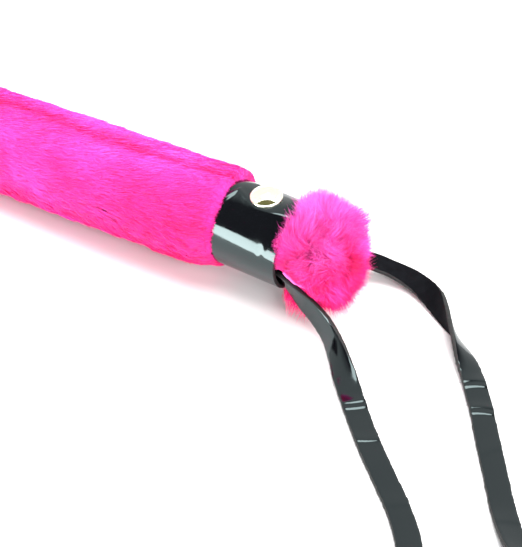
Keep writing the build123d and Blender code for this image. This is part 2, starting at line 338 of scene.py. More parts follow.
def texture(m, kind, size, stretch=(1, 1, 1), **settings):
    """The output of a 3-D texture whose grain is size millimetres."""
    tree = m.node_tree
    place = add_node(tree, "ShaderNodeTexCoord").outputs["Object"]
    spread = add_node(tree, "ShaderNodeMapping", Scale=stretch, Vector=place).outputs["Vector"]
    node = add_node(tree, kind, Scale=1 / (size * MM), Vector=spread, **settings)
    return node.outputs["Distance" if kind == CELLS else 0]


def bump(m, height, distance, strength=1.0):
    """Adds a relief of that many millimetres to the material, on top of what it has."""
    node = add_node(m.node_tree, "ShaderNodeBump",
                    Distance=distance * MM, Strength=strength, Height=height)
    before = on_shader(m).inputs["Normal"].links
    if before:
        set_inputs(m.node_tree, node, Normal=before[0].from_socket)
    on_shader(m, Normal=node.outputs["Normal"])


def ranged(tree, value, first, last, low, high):
    """A value that goes from low to high while the given one goes from first to last."""
    node = add_node(tree, "ShaderNodeMapRange",
                    Value=value, From_Min=first, From_Max=last, To_Min=low, To_Max=high)
    return node.outputs["Result"]


def vary_roughness(m, value, low, high):
    on_shader(m, Roughness=ranged(m.node_tree, value, 0.3, 0.7, low, high))


def tint(m, value, *stops):
    """Colours the material from a texture; stops are (place, (r, g, b))."""
    ramp = add_node(m.node_tree, "ShaderNodeValToRGB", Fac=value)
    elements = ramp.color_ramp.elements
    for element, (position, colour) in zip(elements, (stops[0], stops[-1])):
        element.position = position
        element.color = (*colour, 1)
    for position, colour in stops[1:-1]:
        elements.new(position).color = (*colour, 1)
    on_shader(m, Base_Color=ramp.outputs["Color"])


NOISE = "ShaderNodeTexNoise"
CELLS = "ShaderNodeTexVoronoi"


def patent_leather():
    # painted tint of the light: the reflections are tinted a cool cyan, the cast of the
    # surrounding light
    m = material("patent_leather", Base_Color=(0.0016, 0.0016, 0.0025, 1), IOR=1.5,
                 Specular_Tint=(0.78, 1.0, 1.0, 1), Specular_IOR_Level=0.58)
    vary_roughness(m, texture(m, NOISE, 3.0, Detail=2), 0.05, 0.12)
    bump(m, texture(m, NOISE, 3.4, Detail=1), 0.03, 0.4)
    bump(m, texture(m, NOISE, 0.5, Detail=2), 0.004, 0.5)
    return m


def leather_edge(name, pale):
    """The raw cut edge, fibrous and a little paler; made far paler, it is a painted highlight of
    an edge that catches the light.
    """
    m = material(name, Roughness=0.7)
    grain = texture(m, NOISE, 0.25, Detail=4, Roughness=0.7)
    tint(m, grain, (0.3, (0.003 * pale, 0.003 * pale, 0.003 * pale)),
         (0.62, (0.01 * pale, 0.011 * pale, 0.011 * pale)),
         (0.8, (0.04 * pale, 0.044 * pale, 0.042 * pale)))
    bump(m, grain, 0.1, 0.8)
    return m


def flesh_side():
    """The suede-like back of the leather."""
    m = material("leather_flesh_side", Roughness=0.85, Specular_IOR_Level=0.06)
    nap = texture(m, NOISE, 0.22, Detail=4, Roughness=0.65)
    cloud = texture(m, NOISE, 2.4, Detail=3)
    tint(m, cloud, (0.3, (0.0018, 0.002, 0.003)), (0.7, (0.004, 0.0045, 0.006)))
    bump(m, nap, 0.09, 0.8)
    bump(m, cloud, 0.12, 0.4)
    return m


def brass():
    m = material("brass", Base_Color=(0.95, 0.95, 0.76, 1), Metallic=1.0)
    vary_roughness(m, texture(m, NOISE, 1.2, Detail=3), 0.24, 0.34)
    bump(m, texture(m, NOISE, 0.5, Detail=2), 0.01, 0.4)
    return m


# painted dark reflection: a dull dark olive with almost no shine, for the caps' dents
def dark_reflection_paint():
    m = material("brass_painted_dark_reflection", Roughness=0.6, Specular_IOR_Level=0.06)
    cloud = texture(m, NOISE, 1.6, Detail=3)
    tint(m, cloud, (0.3, (0.04, 0.045, 0.01)), (0.7, (0.07, 0.06, 0.025)))
    return m


def steel():
    m = material("steel", Base_Color=(0.5, 0.5, 0.52, 1), Metallic=1.0)
    vary_roughness(m, texture(m, NOISE, 0.8, Detail=3), 0.25, 0.45)
    bump(m, texture(m, NOISE, 0.3, (0.1, 1, 1)), 0.01, 0.4)
    return m


def moulded(name, colour, rough=0.45):
    m = material(name, Base_Color=(*colour, 1))
    vary_roughness(m, texture(m, NOISE, 1.5, Detail=3), rough - 0.08, rough + 0.08)
    bump(m, texture(m, NOISE, 0.18, Detail=2), 0.012, 0.5)
    return m


def fibreglass():
    m = material("fibreglass", Roughness=0.35)
    streak = texture(m, NOISE, 0.35, (0.02, 1, 1), Detail=3)
    tint(m, streak, (0.3, (0.02, 0.02, 0.02)), (0.7, (0.06, 0.06, 0.055)))
    bump(m, streak, 0.02, 0.5)
    return m


def foam():
    m = material("foam", Roughness=0.95)
    cells = texture(m, CELLS, 0.8)
    tint(m, cells, (0.0, (0.02, 0.02, 0.02)), (0.6, (0.1, 0.1, 0.1)))
    bump(m, cells, 0.25, 0.8)
    return m


def thread_black():
    m = material("thread", Roughness=0.55, Sheen_Weight=0.05, Specular_IOR_Level=0.3)
    fibre = texture(m, NOISE, 0.12, Detail=3)
    tint(m, fibre, (0.3, (0.003, 0.003, 0.004)), (0.7, (0.012, 0.012, 0.014)))
    bump(m, fibre, 0.03, 0.6)
    return m


def plush_cloth(name, low, high):
    """The knitted ground that the pile stands on, seen deep between the hairs; its colour is set
    as painted shade on the grip and painted light in the pompom.
    """
    m = material(name, Roughness=0.9, Sheen_Weight=0.3)
    knit = texture(m, CELLS, 0.7)
    patches = texture(m, NOISE, 9.0, (0.5, 1, 1), Detail=3)
    tint(m, patches, (0.3, low), (0.7, high))
    bump(m, knit, 0.2, 0.6)
    return m


# from the palest, which catches the light, to the deepest
GRIP_PINKS = (
    (0.93, 0.105, 0.68), (0.93, 0.066, 0.54), (0.92, 0.042, 0.42),
    (0.91, 0.026, 0.32), (0.90, 0.017, 0.24), (0.88, 0.012, 0.18),
)
POMPOM_PINKS = (
    (0.97, 0.160, 0.66), (0.97, 0.115, 0.57), (0.97, 0.070, 0.46),
    (0.96, 0.043, 0.37), (0.96, 0.028, 0.29), (0.95, 0.018, 0.22),
)


def pile_shades(name, colours):
    return [
        material(f"{name}_{i + 1}", Base_Color=(*c, 1), Roughness=0.6, Sheen_Weight=0.1,
                 Specular_IOR_Level=0.2)
        for i, c in enumerate(colours)
    ]


PATENT = patent_leather()
CUT_EDGE = leather_edge("leather_cut_edge", 1.0)
# painted highlight: a cut edge coloured far paler where it catches the light
PAINTED_EDGE_HIGHLIGHT = leather_edge("leather_edge_painted_highlight", 9.0)
FLESH = flesh_side()
THREAD = thread_black()
# painted shade: the grip's ground is a deep pink, the shade between the hairs
CLOTH = plush_cloth("plush_cloth", (0.88, 0.02, 0.24), (0.92, 0.03, 0.34))
# painted light: the pompom's ground is kept pale so the gaps between its hairs don't go dark
SKIN = plush_cloth("pompom_cloth", (0.97, 0.10, 0.48), (0.98, 0.14, 0.58))
BRASS = brass()
PAINTED_DARK_REFLECTION = dark_reflection_paint()
PILE = pile_shades("plush_pile", GRIP_PINKS)
POMPOM_PILE = pile_shades("pompom_pile", POMPOM_PINKS)


def cad_materials():
    """Better materials for the CAD nodes that stay."""
    black_plastic = moulded("plug_plastic", (0.015, 0.015, 0.017))
    better = {
        "butt_plug": black_plastic,
        "front_plug": black_plastic,
        "handle_core_tube": moulded("tube_plastic", (0.03, 0.03, 0.03), 0.5),
        "foam_sleeve": foam(),
        "rivet_bases": steel(),
        "pompom_screw": steel(),
        "pompom_ball": moulded("ball_plastic", (0.7, 0.68, 0.62), 0.5),
        "front_ferrule": moulded("ferrule_plastic", (0.004, 0.004, 0.005), 0.3),
    }
    for node, m in better.items():
        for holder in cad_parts[node].material_slots:
            holder.material = m


# ---- collars
def collar_height(x, clock, rivet_x):
    """How far the leather stands off a plain round: pulled in at the rivet, with its folds."""
    from_rivet = turn_from(clock, RIVET_CLOCK) * COLLAR_R
    reach = np.hypot((x - rivet_x) / 1.15, from_rivet)
    height = -0.62 * bell(reach, 6.2) + 0.22 * bell(reach - 7.6, 1.9)
    p = on_round(x, clock, COLLAR_R)
    loose = ease((np.sin(clock) - 0.5) / 0.3)      # only on top does the leather lie uneven
    height = height + (0.012 + 0.06 * loose) * noise(p, (7, 6, 6), 3)
    height = height + (0.003 + 0.02 * loose) * noise(p, (2.2, 2.2, 2.2), 4)
    return height


def butt_folds(x, clock):
    """The folds that the photograph shows on the butt collar."""
    arc = np.degrees(turn_from(clock, 0))
    # a fold from the rivet's lower side up to the grip's edge, and one on to the rim
    middle = np.interp(x, (-23, -19.5, -11, -6, 0), (60, 86, 69, 70, 76))
    fold = 0.27 * bell(arc - middle, 5.5) * ease((x + 24) / 3)
    # a short dent in the smooth lower part
    dent = -0.09 * bell(x + 5.8, 0.8) * bell(arc - 16, 9)
    dent = dent + 0.06 * bell(x + 4.2, 0.7) * bell(arc - 17, 7)
    # the strap's ends push the leather out below, and it is flatter above them
    bend = 10 + 0.25 * (x + 11)
    swell = -(0.48 + 0.017 * (x + 20.6)) * np.tanh((arc - bend) / 16)
    swell = swell * ease((arc + 80) / 45) * (1 - ease((arc - 46) / 45))
    return fold + dent + swell


def collar(name, span, rivet_x, node, extra=None, skew=0.0):
    """A band with thickness whose ends meet underneath, with rounded cut edges."""
    start, end = span
    columns, rows = 150, 420
    gap = math.radians(0.5)
    clock = np.linspace(-math.pi / 2 + gap, 1.5 * math.pi - gap, rows)
    # outside, round the edge at the end, inside, round the edge at the start
    edge, corner = 0.25, 0.07
    out_x = np.linspace(start + edge, end - edge, columns)
    in_x = out_x[::6][::-1]
    path_x = np.concatenate((out_x, (end - corner, end, end, end - corner), in_x,
                             (start + corner, start, start, start + corner)))
    down = np.array((corner, 0.3, COLLAR_T - edge, COLLAR_T - 0.05))
    depth = np.concatenate((np.zeros(columns), down, np.full(len(in_x), COLLAR_T), down[::-1]))
    x, c = np.meshgrid(path_x, clock)
    shaped_x = np.clip(x, start + 0.3, end - 0.3)
    rise = collar_height(shaped_x, c, rivet_x)
    if extra is not None:
        rise = rise + extra(shaped_x, c)
    ragged = 0.07 * noise(on_round(x, c, COLLAR_R), (9, 1.1, 1.1), 8)
    near_end = bell(x - start, 0.5) + bell(x - end, 0.5)
    radius = COLLAR_R + rise - depth
    points = on_round(x + ragged * near_end, c, radius)
    points[..., 2] -= skew * (x - (start + end) / 2) / (end - start)
    count = len(path_x)
    faces = tube_faces(rows, count)
    column = faces[0][:, 0] % count
    which = np.ones(len(column), int)
    which[column < columns - 1] = 0
    which[(column >= columns + 4) & (column < columns + 3 + len(in_x))] = 2
    # the cut edge at the start takes the painted highlight
    which[column >= columns + 3 + len(in_x)] = 3
    which = np.concatenate((which, (1, 1)))
    piece = mesh_piece(name, to_world(points), faces, [PATENT, CUT_EDGE, FLESH, PAINTED_EDGE_HIGHLIGHT], which)
    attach(piece, "handle")
    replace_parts(piece, node)
    return piece


def rivet_cap(name, x, lean, shift):
    """A spun brass cap on its post: a low dome with a dent coloured as a painted dark reflection,
    and a rolled rim.

    It leans to the near side by an angle and is shifted there by some millimetres.
    """
    dome = np.linspace(0.02, CAP_DOME, 44)
    roll = np.linspace(0.1, math.pi / 2, 8)
    radius = np.concatenate(([0.0], dome, CAP_DOME + 0.15 + CAP_ROLL * np.sin(roll),
                             (5.0, 4.8, POST_R, POST_R)))
    height = np.concatenate(([CAP_TOP], CAP_TOP - 0.95 * ease(dome / CAP_DOME) ** 1.2,
                             0.2 + 0.42 * np.cos(roll), (0.1, 0.0, -0.1, -1.9)))
    r, a = np.meshgrid(radius, full_turn(96), indexing="ij")
    # a half moon, straight on its inner side
    past = (r * np.cos(a - DENT_TURN) - DENT_OUT) / 1.5
    past = np.where(past < 0, 3 * past, past)
    reach = np.hypot(past, r * np.sin(a - DENT_TURN) / 2.75)
    dent = (1 - ease((reach - 0.85) / 0.3)) * (r < CAP_DOME - 0.05)
    h = height[:, None] - 0.15 * dent
    aside = r * np.sin(a) * math.cos(lean) - h * math.sin(lean) - shift
    seat = RIVET_SEAT + h * math.cos(lean) + r * np.sin(a) * math.sin(lean)
    tip = RIVET_CLOCK - math.pi / 2
    y = aside * math.cos(tip) + seat * math.sin(tip)
    z = -aside * math.sin(tip) + seat * math.cos(tip)
    points = np.stack((x + r * np.cos(a), y, z), -1)
    faces = grid_faces(*a.shape, wrap_columns=True)
    # the dent's faces take the painted dark reflection
    painted_dark = (dent.reshape(-1)[faces].mean(1) > 0.5).astype(int)
    piece = mesh_piece(name, to_world(points), faces, [BRASS, PAINTED_DARK_REFLECTION], painted_dark)
    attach(piece, "handle")
    return piece


# ---- plush grip
FUR_START = -149.4
FUR_STOP = -23.5
GROUND_R = 12.9
PILE_HEIGHT = 3.75
PILE_ROOT = GROUND_R - 0.15
PILE_MIDDLE = 14.0
SEAM = ((-149.0, 88.0), (-83.0, 87.0), (-62.0, 84.0), (-36.0, 92.0), (-23.0, 95.0))   # x, clock
# Deeper (positive) and paler patches of the pile: x, clock, length, breadth in mm, how much. The
# paler band at clock 110, over the ridge above the groove, is a painted highlight.
PILE_PATCHES = (
    (-51, 34, 13, 7, 1.2), (-30, 14, 9, 7, 0.7), (-95, -4, 12, 7, -2.3),
    (-71, 64, 16, 4, -1.0), (-45, 74, 14, 3.5, -0.9), (-75, 110, 40, 4, -1.1),
    (-120, 40, 14, 8, 0.8), (-62, 205, 15, 8, 0.9), (-110, 170, 16, 8, -0.8),
)


def pile_height(p, x, clock):
    """How high the pile stands over its ground: soft swells and the groove along the top."""
    seam_x, seam_clock = zip(*SEAM)
    seam = np.radians(np.interp(x, seam_x, seam_clock)) + 0.02 * np.sin(x / 5.3 + 1)
    groove = bell(turn_from(clock, seam) * PILE_MIDDLE, 2.1)
    low_side = bell(turn_from(clock, -0.9), 0.8)
    swells = 0.3 * noise(p, (16, 9, 9), 21) + 0.16 * noise(p, (6, 4, 4), 22)
    return (PILE_HEIGHT + 0.35 * low_side + swells) * (1 - 0.42 * groove), groove


def end_limit(x):
    """The pile rounds off towards the collars."""
    butt = np.clip((x + 25.0) / 2.3, 0, 1)
    front = np.clip((-146.6 - x) / 4.3, 0, 1)
    return np.sqrt(np.maximum(0.0, 1 - butt**2)) * np.sqrt(np.maximum(0.0, 1 - front**2))


def grip_ground():
    rows, columns = 200, 240
    x = np.concatenate(([-154.0, -149.9, -149.4], np.linspace(-148.9, -23.3, columns),
                        [-22.9, -22.3, -18.4]))
    base = np.concatenate(([11.5, 11.75, 12.2], np.full(columns, GROUND_R), [12.2, 11.75, 11.5]))
    inner_x, inner_r = np.array([-18.4, -40.0, -130.0, -154.0]), np.full(4, 11.2)
    x, base = np.concatenate((x, inner_x)), np.concatenate((base, inner_r))
    clock = full_turn(rows)
    grid_x, c = np.meshgrid(x, clock)
    p = on_round(grid_x, c, PILE_MIDDLE)
    relief = 0.35 * noise(p, (5, 2.4, 2.4), 31) * (base > GROUND_R - 0.1)
    points = on_round(grid_x, c, base + relief)
    faces = grid_faces(rows, len(x), wrap_rows=True, wrap_columns=True)
    piece = mesh_piece("plush_ground", to_world(points), faces, [CLOTH])
    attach(piece, "handle")
    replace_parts(piece, "fur_sleeve")


def tufts(p, x, clock):
    """How far each hair is from its tuft's middle, along and round, and the tuft's lift."""
    long, around = 3.6, 38                       # a tuft's length, and tufts in one turn
    warp = 1.3 * noise(p, (5, 3, 3), 42)
    cell_x = np.floor((x + warp) / long).astype(np.int64)
    share = (clock / (2 * math.pi) * around + 0.6 * noise(p, (4, 3, 3), 43)) % around
    cell_c = np.floor(share).astype(np.int64)
    one = np.ones_like(cell_x)
    middle_x = (cell_x + 0.2 + 0.6 * hashed(cell_x, cell_c, one, 44)) * long
    middle_c = cell_c + 0.2 + 0.6 * hashed(cell_x, cell_c, one, 45)
    lift = hashed(cell_x, cell_c, one, 46)
    return middle_x - x, (middle_c - share) * 2 * math.pi / around, lift


def hair_shades(rng, p, x, clock, groove, lift):
    """Each hair's shade: swells, streaks, patches, tufts and single hairs, with painted shade in
    the groove and painted light on lifted tufts and on top.
    """
    # painted shade: the groove is deeper; painted sheen: lifted tufts are paler
    tone = (
        1.3 * noise(p, (17, 9, 9), 51) + 0.7 * noise(p, (11, 2.8, 2.8), 52)
        + 0.15 * (0.5 - lift) + 1.5 * groove + 0.010 * (x + 85) + rng.normal(0, 0.2, len(x))
    )
    for at, around_at, long_by, wide_by, amount in PILE_PATCHES:
        aside = turn_from(clock, math.radians(around_at)) * 15
        tone = tone + amount * bell(x - at + 2 * noise(p, 4, 53), long_by) * bell(aside, wide_by)
    tone = 2.6 + tone - 0.8 * np.sin(clock)      # painted light: the top is paler, as if lit from above
    return np.clip(np.round(tone), 0, len(PILE) - 1).astype(int)


def pile_lines(rng, count, first, last):
    """Hairs combed towards the butt, drawn together in tufts, as lines and shades."""
    x = rng.uniform(first, last, count)
    clock = rng.uniform(0, 2 * math.pi, count)
    p = on_round(x, clock, PILE_MIDDLE)
    length = rng.uniform(6.5, 10.0, count)
    room = FUR_STOP + 1.2 + rng.uniform(-1.0, 0.8, count) - x
    length = np.minimum(length, np.maximum(room, 1.2))
    height, groove = pile_height(p, x, clock)
    height = height * rng.uniform(0.82, 1.06, count)
    drift = np.radians(8 + 9 * noise(p, (26, 12, 12), 41) + rng.normal(0, 5, count))
    off_x, off_clock, lift = tufts(p, x, clock)
    gather = 0.55 * rng.uniform(0.5, 1.0, count)
    pull_x = off_x * gather * 0.5
    pull_c = off_clock * gather
    t = np.array((0.0, 0.22, 0.5, 0.78, 1.0))
    run = length[:, None] * t
    lx = x[:, None] + run + pull_x[:, None] * t**1.5
    lc = clock[:, None] + np.tan(drift)[:, None] * run / 15 + pull_c[:, None] * t**1.3
    curl = rng.normal(0, 0.35, count)[:, None] * np.sin(math.pi * t) / 15
    rise = (1 - (1 - t) ** 1.8) * height[:, None] * (0.86 + 0.2 * lift)[:, None]
    stray = np.where(rng.uniform(0, 1, count) < 0.03, rng.uniform(0.2, 0.7, count), 0)
    radius = PILE_ROOT + rise + stray[:, None] * t**2
    limit = GROUND_R + 0.25 + (rise.max() + 0.2) * end_limit(lx)
    # under and in front the pile thins out before the collar; on top it stands full
    thin = ease((lx + 31) / 7) * (0.5 - 0.5 * np.tanh((np.sin(lc) - 0.35) / 0.3))
    radius = PILE_ROOT + (radius - PILE_ROOT) * (1 - 0.5 * thin)
    radius = np.minimum(radius, limit)
    lines = to_world(on_round(lx, lc + curl, radius))
    lines[..., 2] = np.maximum(lines[..., 2], 0.12 + 0.5 * t * rng.uniform(0, 1, (count, 1)))
    return lines, hair_shades(rng, p, x, clock, groove, lift)


def ribbon_sides(rng, lines, spread):
    """Cross directions that lie flat on the crop, turned by a random part of a right angle."""
    along = unit(lines[:, -1] - lines[:, 0])
    middle = lines[:, 2] - RIM
    middle[:, 2] -= middle[:, 0] * math.tan(LEAN)
    side = unit(np.cross(along, from_axis(middle)))
    other = np.cross(along, side)
    turn = rng.normal(0, spread, len(lines))[:, None]
    return np.cos(turn) * side + np.sin(turn) * other


def hair_widths(rng, count, low, high, taper):
    return rng.uniform(low, high, count)[:, None] * np.array(taper) * 1


def grip_pile():
    pieces = 6
    total = 162000
    edges = np.linspace(FUR_START - 0.2, FUR_STOP - 1.0, pieces + 1)
    for i in range(pieces):
        rng = np.random.default_rng(100 + i)
        count = total // pieces
        lines, shades = pile_lines(rng, count, edges[i], edges[i + 1])
        sides = ribbon_sides(rng, lines, 0.7)
        widths = hair_widths(rng, count, 0.075, 0.13, (0.8, 1.0, 0.9, 0.6, 0.0))
        # the roots are painted one step deeper, as painted shade deep in the pile
        piece = strand_piece(f"plush_pile_{i + 1}", lines, sides, widths, shades, PILE, 2, 1)
        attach(piece, "handle")


# ---- pompom
POM_MIDDLE = np.array((6.8, -1.0, -1.4))
POM_ROOT = 9.6
POM_AXIAL = 15.6
POM_RADIAL = 19.6
POM_STEPS = np.array((0.0, 0.25, 0.5, 0.75, 1.0))    # the points of a hair, from its root
POMPOM_ROOM = 36.0                       # how far from the rim the strap may meet the fur


def fan(count, widest, rng, jitter):
    """Even directions about +x, out to the angle widest, with some jitter."""
    i = np.arange(count) + 0.5
    low = math.cos(widest)
    cx = 1 - i / count * (1 - low)
    turn = i * math.pi * (3 - math.sqrt(5))
    ring = np.sqrt(1 - cx**2)
    d = np.stack((cx, ring * np.cos(turn), ring * np.sin(turn)), 1)
    return unit(d + rng.normal(0, jitter, d.shape))


def in_blocks(test, points, *rest):
    """What test says of the points, so many at a time that it fits in memory."""
    blocks = np.array_split(points, max(1, len(points) // 20000))
    return np.concatenate([test(block, *rest) for block in blocks])


def near_strap(points, strap):
    """True where a point, in the world, lies in the strap's room."""
    close = np.linalg.norm(strap[0] - RIM, axis=1) < POMPOM_ROOM
    line, along, across, out = (part[close] for part in strap)
    nearest = ((points[:, None] - line[None]) ** 2).sum(-1).argmin(1)
    d = points - line[nearest]
    return (
        (np.abs((d * across[nearest]).sum(-1)) < STRAP_W / 2 + 0.25)
        & (np.abs((d * out[nearest]).sum(-1)) < STRAP_T / 2 + 0.25)
        & (np.abs((d * along[nearest]).sum(-1)) < 1.5)
    )


def over_strap(points, strap):
    """True outside the strap's near strand, where it has pushed the fur aside."""
    line, _, across, _ = strap
    first = np.linalg.norm(line - line[0], axis=1)
    near = (first > 15.0) & (first < 48) & (np.arange(len(line)) < len(line) // 2)
    line, across = line[near], across[near]
    free = unit(np.array((0.4, -0.65, 0.64)))       # the way the strand's free side looks
    half = np.linalg.norm(np.cross(across, free), axis=1) * STRAP_W / 2 + 0.1
    d = points[:, None] - line[None]
    height = d @ free
    beside = np.sqrt(np.maximum((d**2).sum(-1) - height**2, 0))
    return ((beside < half) & (height > -0.4) & (height < 25)).any(1)


def pompom_lines(rng, count):
    """Hairs that stand round the ball in tufts, as lines of the own frame, ways and tones."""
    heads = fan(420, math.radians(122), rng, 0.1)
    reach = rng.uniform(0.8, 1.09, len(heads))
    tone = rng.normal(0, 0.4, len(heads))
    own = fan(count, math.radians(118), rng, 0.02)
    pick = (own @ heads.T + rng.normal(0, 0.015, (count, len(heads)))).argmax(1)
    head = heads[pick]
    t = POM_STEPS
    gather = rng.uniform(0.0, 0.5, count)[:, None, None] * (t[None, :, None] ** 1.4)
    way = unit(own[:, None] * (1 - gather) + head[:, None] * gather)
    flat = np.hypot(way[..., 1], way[..., 2])
    shell = 1 / np.sqrt((way[..., 0] / POM_AXIAL) ** 2 + (flat / POM_RADIAL) ** 2)
    tip = shell * (reach[pick] * rng.uniform(0.82, 1.04, count))[:, None]
    far = POM_ROOT + (tip - POM_ROOT) * t
    lines = POM_MIDDLE + way * far[..., None]
    for axis, reach_of_sway in ((0, 2.2), (1, 3.2), (2, 3.2)):
        sway = noise(own * 10, 4.5, 61 + axis) + 0.25 * rng.normal(0, 1, count)
        lines[..., axis] += reach_of_sway * sway[:, None] * t**2
    bend = rng.normal(0, 2.4, heads.shape)
    bend -= heads * (bend * heads).sum(1, keepdims=True)
    lines += bend[pick][:, None] * (t**2)[None, :, None]
    return lines, own, tone[pick]


def pompom(strap):
    rng = np.random.default_rng(7)
    count = 72000
    lines, own, tone = pompom_lines(rng, count)
    # hair that would go into the collar is turned aside by its rim
    radius = np.hypot(lines[..., 1], lines[..., 2])
    barred = (lines[..., 0] < 0.7) & (radius < COLLAR_R + 0.6)
    inside = (barred & (lines[..., 0] < -6)).any(1)      # too far in to be turned aside
    lines[..., 0] = np.where(barred, 0.7 + 0.5 * rng.uniform(0, 1, (count, 1)), lines[..., 0])
    # on the near side it stays behind the rim, most of all where the strap parts it
    clock = np.arctan2(lines[..., 2], -lines[..., 1])
    near = 1 - ease((np.abs(turn_from(clock, -0.1)) - 0.65) / 0.55)
    parted = 1 - ease((np.abs(turn_from(clock, -0.35)) - 0.4) / 0.35)
    lean = 0.62 * np.maximum(np.hypot(lines[..., 1], lines[..., 2]) - 14, 0)
    back = near * lean + 1.6 * parted - 1.9 * rng.uniform(0, 1, (count, 1)) ** 2 * (1 - parted)
    lines[..., 0] = np.maximum(lines[..., 0], back)
    world = to_world(lines)
    floor = 0.1 + 0.6 * POM_STEPS * rng.uniform(0, 1, (count, 1))
    world[..., 2] = np.maximum(world[..., 2], floor)
    spots = np.concatenate([world, (world[:, 1:] + world[:, :-1]) / 2], axis=1).reshape(-1, 3)
    blocked = in_blocks(near_strap, spots, strap) | in_blocks(over_strap, spots, strap)
    keep = ~(inside | blocked.reshape(count, -1).any(1))
    lines, world, own, tone = lines[keep], world[keep], own[keep], tone[keep]
    count = len(lines)
    shade = 3.1 + 0.7 * tone + rng.normal(0, 0.5, count) + 0.8 * noise(own * 10, 5, 64)
    # painted light and shade: hairs pointing up are paler, those pointing down deeper, and those
    # pointing out of the crop's end a little deeper
    shade = shade - 3.0 * own[:, 2] + 0.4 * own[:, 0]
    shades = np.clip(np.round(shade), 0, len(POMPOM_PILE) - 1).astype(int)
    side = unit(np.cross(unit(lines[:, -1] - lines[:, 0]), rng.normal(0, 1, (count, 3))))
    widths = hair_widths(rng, count, 0.06, 0.11, (1.0, 1.0, 0.85, 0.55, 0))
    pieces = 3
    for i, part in enumerate(np.array_split(rng.permutation(count), pieces)):
        piece = strand_piece(
            f"pompom_hair_{i + 1}", world[part], side[part], widths[part], shades[part],
            POMPOM_PILE)
        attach(piece, "handle")


def pompom_ground(strap):
    """The fur's skin round the ball, seen only deep between the hairs."""
    polar = np.linspace(0.02, math.radians(112), 60)
    a, b = np.meshgrid(polar, full_turn(96), indexing="ij")
    d = np.stack((np.cos(a), np.sin(a) * np.cos(b), np.sin(a) * np.sin(b)), -1)
    radius = POM_ROOT + 2.4 + 0.5 * noise(d * 10, 2.5, 71)
    # pressed in by the strap
    line = strap[0][np.linalg.norm(strap[0] - RIM, axis=1) < POMPOM_ROOM]
    spots = to_world(POM_MIDDLE + d * radius[..., None])
    gap = np.linalg.norm(spots[:, :, None] - line, axis=-1).min(-1)
    radius = radius - np.clip(5.6 - gap, 0, 4.7)
    points = POM_MIDDLE + d * radius[..., None]
    faces = grid_faces(*a.shape, wrap_columns=True)
    piece = mesh_piece("pompom_skin", to_world(points), faces, [SKIN])
    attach(piece, "handle")
    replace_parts(piece, "pompom_fur")


# ---- wrist strap
def strap_line():
    """Points along the strap's line, and the roll in degrees at each of them."""
    curve = bpy.data.curves.new("strap_line", "CURVE")
    curve.dimensions = "3D"
    spline = curve.splines.new("NURBS")
    spline.points.add(len(STRAP_ROUTE) - 1)
    for point, (x, y, z, _) in zip(spline.points, STRAP_ROUTE):
        point.co = (x * MM, y * MM, z * MM, 1)
    spline.order_u = 3
    spline.use_endpoint_u = True
    spline.resolution_u = 40
    holder = put_in_scene("strap_line", curve)
    bpy.context.view_layer.update()
    line = bpy.data.meshes.new_from_object(holder)
    points = np.array([v.co for v in line.vertices]) / MM
    bpy.data.objects.remove(holder)
    bpy.data.meshes.remove(line)
    count = len(STRAP_ROUTE)
    knots = np.concatenate(([0], np.arange(count - 2) + 0.5, [count - 2]))
    rolls = np.interp(np.linspace(0, count - 2, len(points)), knots, [p[3] for p in STRAP_ROUTE])
    soft = np.ones(25) / 25
    padded = np.concatenate((np.full(12, rolls[0]), rolls, np.full(12, rolls[-1])))
    return points, np.convolve(padded, soft, "valid")


def strap_frames(points, rolls):
    """Along, across and outward directions of the strip; outward is the smooth side's."""
    along = unit(np.gradient(points, axis=0))
    level = unit(np.cross(along, (0, 0, 1)))
    over = np.cross(level, along)
    turn = np.radians(rolls)[:, None]
    out = np.cos(turn) * over + np.sin(turn) * level
    return along, np.cross(along, out), out


def strap_section():
    """(across share, thickness share) of the strip's outline, and each face's material."""
    flat = np.linspace(-1, 1, 15)
    top = [(s, 1.0) for s in flat]
    bottom = [(s, -1.0) for s in flat[::-1]]
    edge = [(1.055, 0.86), (1.075, 0.3), (1.08, -0.3), (1.06, -0.85)]
    section = top + edge + bottom + [(-a, -b) for a, b in edge]
    which = [0] * 14 + [1] * 5 + [2] * 14 + [1] * 5
    return np.array(section), which


def wrist_strap():
    points, rolls = strap_line()
    along, across, out = strap_frames(points, rolls)
    far = np.concatenate(([0], np.cumsum(np.linalg.norm(np.diff(points, axis=0), axis=1))))
    section, which = strap_section()
    v, s = section[None, :, 0], far[:, None]
    half = STRAP_W / 2 / 1.08
    rough = np.stack(np.broadcast_arrays(s, v * 3, section[None, :, 1]), -1)
    ragged = 0.09 * noise(rough, (1.3, 40, 40), 81) + 0.05 * noise(rough, (0.45, 40, 40), 82)
    wide = v * half + np.sign(v) * ragged * (np.abs(v) > 0.95)
    slack = ease((s - 24) / 12) * ease((STRAP_LENGTH - 24 - s) / 12)
    shift = 0.0
    for at, high, wide_by, slant in STRAP_WRINKLES:
        # steeper on the side away from the handle
        past = (s + slant * v * half - at + 0.25 * v**2) * (1 if at < STRAP_LENGTH / 2 else -1)
        shift = shift + high * bell(past, np.where(past > 0, wide_by, 3.2 * wide_by))
    wave = 0.10 * noise(rough, (11, 60, 60), 83)
    curl = -0.08 * v**2 * (1 + 0.6 * noise(rough, (30, 99, 99), 84))
    thick = STRAP_T / 2 - 0.07 * (np.abs(v) > 0.95)
    height = section[None, :, 1] * thick + (shift + wave + curl + 0.08) * slack
    ring = rings(points, across, out, wide, height)
    rows, columns = ring.shape[:2]
    ring[..., 2] = np.maximum(ring[..., 2], 0.03)
    which = np.concatenate((np.tile(which, rows - 1), (1, 1)))
    piece = mesh_piece("strap", ring, tube_faces(rows, columns), [PATENT, CUT_EDGE, FLESH], which)
    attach(piece, "handle")
    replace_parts(piece, "wrist_strap")
    fibres = strap_fibres(ring, far, across)
    return points, along, across, out


